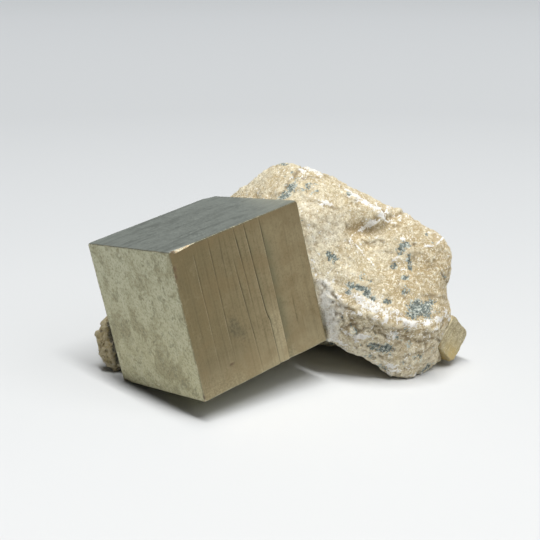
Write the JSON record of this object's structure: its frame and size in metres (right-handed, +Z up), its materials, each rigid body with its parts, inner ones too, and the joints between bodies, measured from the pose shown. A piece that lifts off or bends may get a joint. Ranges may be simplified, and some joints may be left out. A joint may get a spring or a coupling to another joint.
{
  "type": "pyrite specimen",
  "caption": "Pyrite mineral specimen for display: a large striated cubic crystal standing in a broken piece of pale marl, with a small crystal showing at the rock's end.",
  "frame": {"origin": "middle of the bounding box, at the surface the specimen rests on", "axes": "+X along the specimen from the big crystal's side to the small crystal, -Y towards the display side with the striated crystal face, +Z up"},
  "size_m": [0.07, 0.0488, 0.0372],
  "materials": {
    "pyrite": "satin",
    "marl": "matte",
    "weathered_pyrite": "matte"
  },
  "bodies": {
    "root": {"pyrite_cube": "pyrite", "matrix_rock": "marl", "small_pyrite_crystal": "weathered_pyrite"}
  },
  "joints": []
}
